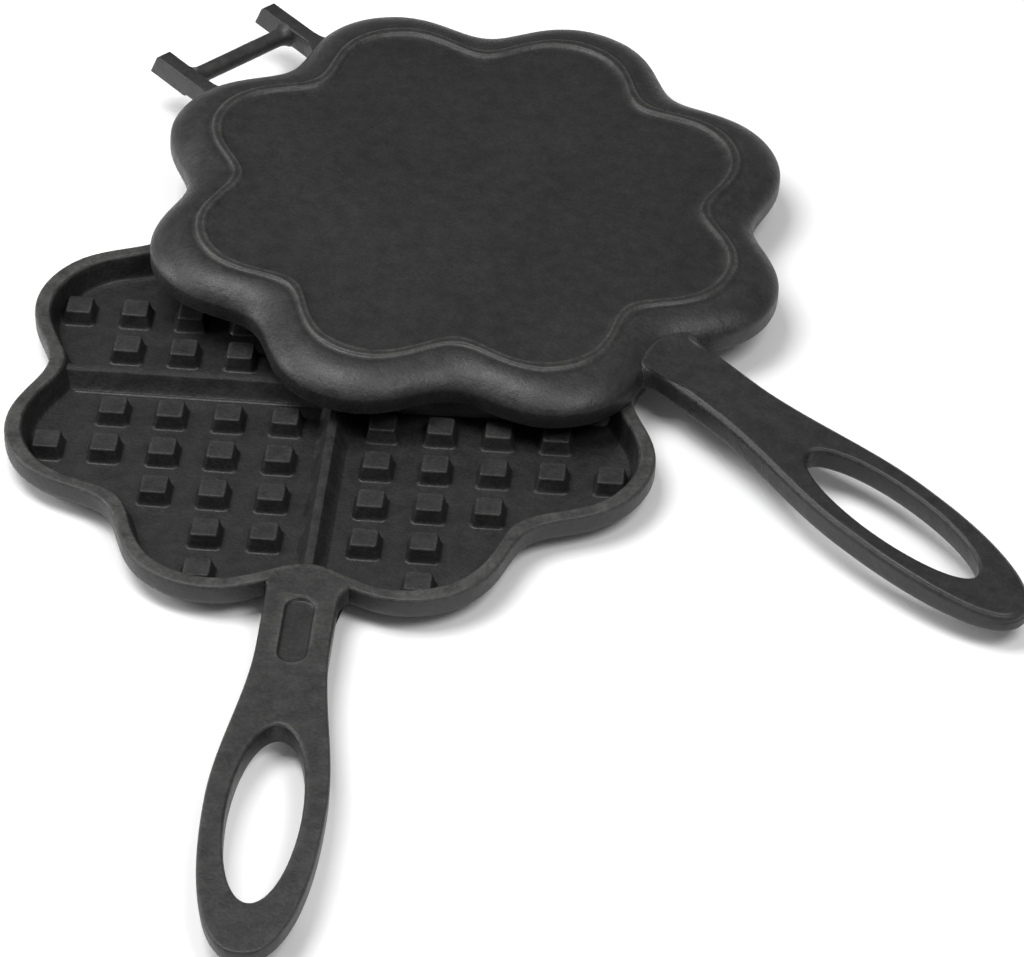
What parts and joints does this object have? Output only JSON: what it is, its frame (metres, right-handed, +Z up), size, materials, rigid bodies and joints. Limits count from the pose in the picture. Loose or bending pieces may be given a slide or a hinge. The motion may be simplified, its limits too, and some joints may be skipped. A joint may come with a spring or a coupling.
{
  "type": "stovetop waffle iron",
  "caption": "Cast iron stovetop waffle iron: flower-shaped plates that bake hearts, long loop handles and a hook and bar hinge, unhooked, with the upper half laid askew on the lower.",
  "frame": {"origin": "middle of the lower plate's foot ring, on the surface it stands on", "axes": "+Z up; the lower half's handle points toward -Y and its hook toward +Y"},
  "size_m": [0.2974, 0.4121, 0.0303],
  "materials": {
    "cast_iron": "seasoned sand-cast black iron, satin, fine pebbled grain"
  },
  "bodies": {
    "lower_half": {"lower_plate": "cast_iron", "lower_handle": "cast_iron", "lower_hook": "cast_iron"},
    "hinge_bar": {"hinge_bar": "cast_iron"},
    "upper_half": {"upper_plate": "cast_iron", "upper_handle": "cast_iron", "hinge_arm_left": "cast_iron", "hinge_arm_right": "cast_iron"}
  },
  "joints": [
    {"name": "lift_off", "type": "slide", "parent": "lower_half", "child": "hinge_bar", "axis": [0, 0, 1], "range_m": [0, 0.09]},
    {"name": "fold", "type": "hinge", "parent": "hinge_bar", "child": "upper_half", "pos_m": [-0.0493, 0.15201, 0.01677], "axis": [-0.6853, -0.728, 0.02], "range_deg": [0, 100]}
  ]
}
